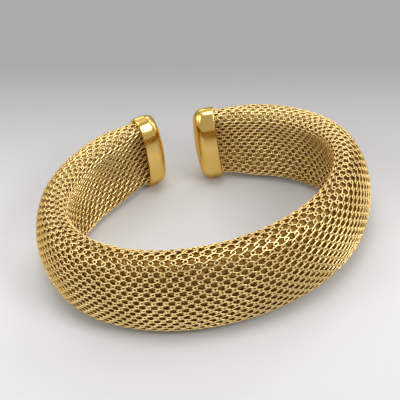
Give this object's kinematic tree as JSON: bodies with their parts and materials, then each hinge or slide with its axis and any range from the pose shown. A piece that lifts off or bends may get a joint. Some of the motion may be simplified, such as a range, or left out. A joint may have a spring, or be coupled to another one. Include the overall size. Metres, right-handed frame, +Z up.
{
  "type": "mesh cuff bracelet",
  "caption": "Open cuff bracelet: a flattened tube of woven wire mesh over a springy core, bulging outside and hollowed inside, with a polished cup on each end and a gap to slip it on.",
  "frame": {"origin": "middle of the footprint of the cuff as it lies on its side, on the surface it lies on", "axes": "+Z up, along the wrist; +Y towards the gap between the end caps; +X to the right, along the long way of the oval"},
  "size_m": [0.0758, 0.059, 0.0225],
  "materials": {
    "wire_mesh": "woven wire, gold-tone plated, bright with small dark cells",
    "core_strip": "smooth, gold-tone, seen only through the cells of the mesh",
    "cap_polish": "polished, gold-tone plated"
  },
  "bodies": {
    "root": {"mesh_sleeve": "wire_mesh", "core": "core_strip", "end_cap_left": "cap_polish", "end_cap_right": "cap_polish"}
  },
  "joints": []
}
